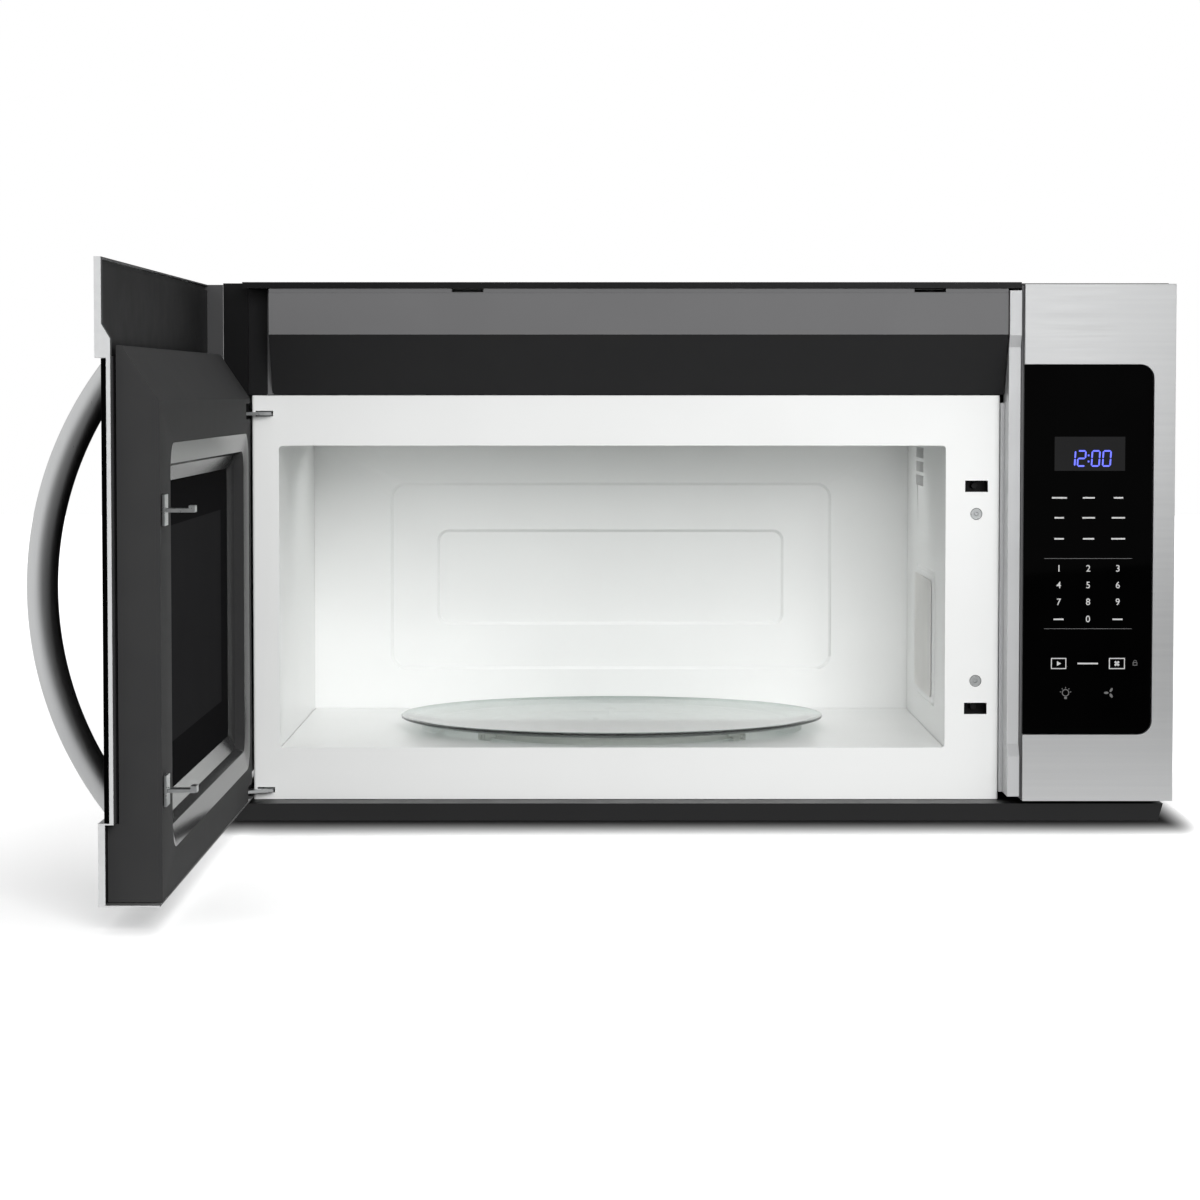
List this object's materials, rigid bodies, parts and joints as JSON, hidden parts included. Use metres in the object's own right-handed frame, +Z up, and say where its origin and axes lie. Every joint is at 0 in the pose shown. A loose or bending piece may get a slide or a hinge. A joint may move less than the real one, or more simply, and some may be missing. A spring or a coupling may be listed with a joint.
{
  "type": "over the range microwave",
  "caption": "Wall-hung microwave oven with vent hood, open side-hinged door with bowed handle, turntable, touch panel, blower and drop-down grease filters.",
  "frame": {"origin": "centre of the case's footprint, on the underside of its base", "axes": "+X to the right as the user faces the oven, +Y into the wall, +Z up"},
  "size_m": [0.8235, 1.029, 0.4302],
  "materials": {
    "black_case_paint": "satin black baked paint",
    "grey_hood_paint": "satin dark grey baked paint",
    "white_enamel": "white baked enamel",
    "galvanised_steel": "bare galvanised sheet",
    "zinc_plate": "bright zinc plate",
    "stainless": "brushed along the door's width",
    "black_glass": "black backed toughened glass",
    "smoked_window": "glossy dark window film",
    "black_plastic": "fine moulded texture",
    "white_plastic": "heat resistant moulding",
    "silver_plastic": "silver paint on a moulding",
    "frosted_lens": "frosted",
    "tray_glass": "clear with a green edge",
    "display_window": "dark filter over digits",
    "filter_aluminium": "layered aluminium mesh in a rim",
    "charcoal": "charcoal granules behind a mesh",
    "mica": "pale mica sheet",
    "magnetron_metal": "plain fins and plated case",
    "core_steel": "varnished laminations",
    "copper_winding": "enamelled copper wire",
    "capacitor_aluminium": "drawn can",
    "circuit_board": "green solder mask",
    "lamp_parts": "bulb and reflector",
    "motor_steel": "plated laminations",
    "black_rubber": "moulded"
  },
  "bodies": {
    "case": {"outer_wrapper": "black_case_paint", "rear_panel": "galvanised_steel", "base_pan": "black_case_paint", "vent_hood": "grey_hood_paint", "cooktop_lens_left": "frosted_lens", "cooktop_lens_right": "frosted_lens", "charcoal_filter": "charcoal", "cavity_front_plate": "white_enamel", "cavity_wrapper": "white_enamel", "cavity_floor": "white_enamel", "cavity_back": "white_enamel", "waveguide_cover": "mica", "frame_screw_upper": "zinc_plate", "frame_screw_lower": "zinc_plate", "waveguide": "galvanised_steel", "magnetron": "magnetron_metal", "transformer_core": "core_steel", "transformer_coil": "copper_winding", "capacitor": "capacitor_aluminium", "high_voltage_diode": "black_plastic", "noise_filter_board": "circuit_board", "control_board": "circuit_board", "display_module": "display_window", "cavity_lamp": "lamp_parts", "cord_grommet": "black_rubber", "fan_shroud": "black_plastic", "cooling_fan_motor": "motor_steel", "blower_housing": "galvanised_steel", "blower_motor": "motor_steel", "turntable_motor": "galvanised_steel", "hinge_bracket_upper": "zinc_plate", "hinge_bracket_lower": "zinc_plate", "interlock_bracket": "black_plastic", "upper_switch": "black_plastic", "lower_switch": "black_plastic", "control_panel_frame": "stainless", "control_panel_housing": "black_plastic", "control_glass": "black_glass", "panel_side_trim": "silver_plastic"},
    "door": {"door_skin": "stainless", "door_glass": "black_glass", "door_frame": "black_case_paint", "choke_cover": "black_plastic", "door_screen": "black_case_paint", "inner_window": "smoked_window", "door_handle": "stainless", "latch_spring": "zinc_plate"},
    "latch": {"latch_bar": "zinc_plate"},
    "coupler": {"turntable_coupler": "white_plastic"},
    "tray": {"glass_tray": "tray_glass"},
    "roller_ring": {"roller_ring": "white_plastic"},
    "roller_1": {"roller_1": "white_plastic"},
    "roller_2": {"roller_2": "white_plastic"},
    "roller_3": {"roller_3": "white_plastic"},
    "blower_wheels": {"blower_wheels": "black_plastic"},
    "cooling_fan": {"cooling_fan": "white_plastic"},
    "grease_filter_left": {"grease_filter_left": "filter_aluminium"},
    "grease_filter_right": {"grease_filter_right": "filter_aluminium"},
    "upper_switch_button": {"upper_switch_button": "black_plastic"},
    "lower_switch_button": {"lower_switch_button": "black_plastic"}
  },
  "joints": [
    {"name": "door_hinge", "type": "hinge", "parent": "case", "child": "door", "pos_m": [-0.3725, -0.2095, 0.217], "axis": [0, 0, 1], "range_deg": [-10, 90]},
    {"name": "latch_slide", "type": "slide", "parent": "door", "child": "latch", "axis": [0, 0, 1], "range_m": [-0.0035, 0], "stiffness_N_per_m": 600, "springref_m": 0.003, "deforming": ["latch_spring"]},
    {"name": "turntable_spin", "type": "hinge", "parent": "case", "child": "coupler", "pos_m": [-0.067, -0.005, 0.05], "axis": [0, 0, 1], "continuous": true},
    {"name": "tray_lift", "type": "slide", "parent": "coupler", "child": "tray", "axis": [0, 0, 1], "range_m": [0, 0.03]},
    {"name": "roller_ring_spin", "type": "hinge", "parent": "case", "child": "roller_ring", "pos_m": [-0.067, -0.005, 0.0533], "axis": [0, 0, 1], "continuous": true},
    {"name": "roller_1_spin", "type": "hinge", "parent": "roller_ring", "child": "roller_1", "pos_m": [-0.067, 0.119, 0.0533], "axis": [0, 1, 0], "continuous": true},
    {"name": "roller_2_spin", "type": "hinge", "parent": "roller_ring", "child": "roller_2", "pos_m": [-0.17439, -0.067, 0.0533], "axis": [-0.866, -0.5, 0], "continuous": true},
    {"name": "roller_3_spin", "type": "hinge", "parent": "roller_ring", "child": "roller_3", "pos_m": [0.04039, -0.067, 0.0533], "axis": [0.866, -0.5, 0], "continuous": true},
    {"name": "blower_spin", "type": "hinge", "parent": "case", "child": "blower_wheels", "pos_m": [0, 0.11478, 0.35923], "axis": [1, 0, 0], "continuous": true},
    {"name": "cooling_fan_spin", "type": "hinge", "parent": "case", "child": "cooling_fan", "pos_m": [0.3175, 0.11, 0.3], "axis": [0, 1, 0], "continuous": true},
    {"name": "grease_filter_left_drop", "type": "hinge", "parent": "case", "child": "grease_filter_left", "pos_m": [-0.215, 0.007, 0.003], "axis": [1, 0, 0], "range_deg": [0, 60]},
    {"name": "grease_filter_right_drop", "type": "hinge", "parent": "case", "child": "grease_filter_right", "pos_m": [0.215, 0.007, 0.003], "axis": [1, 0, 0], "range_deg": [0, 60]},
    {"name": "upper_switch_press", "type": "slide", "parent": "case", "child": "upper_switch_button", "axis": [0, 1, 0], "range_m": [0, 0.0015], "stiffness_N_per_m": 300, "springref_m": -0.002},
    {"name": "lower_switch_press", "type": "slide", "parent": "case", "child": "lower_switch_button", "axis": [0, 1, 0], "range_m": [0, 0.0015], "stiffness_N_per_m": 300, "springref_m": -0.002}
  ],
  "couplings": [
    {"joint": "roller_ring_spin", "follows": "turntable_spin", "ratio": 0.5},
    {"joint": "roller_1_spin", "follows": "turntable_spin", "ratio": -10.333},
    {"joint": "roller_2_spin", "follows": "turntable_spin", "ratio": -10.333},
    {"joint": "roller_3_spin", "follows": "turntable_spin", "ratio": -10.333}
  ]
}
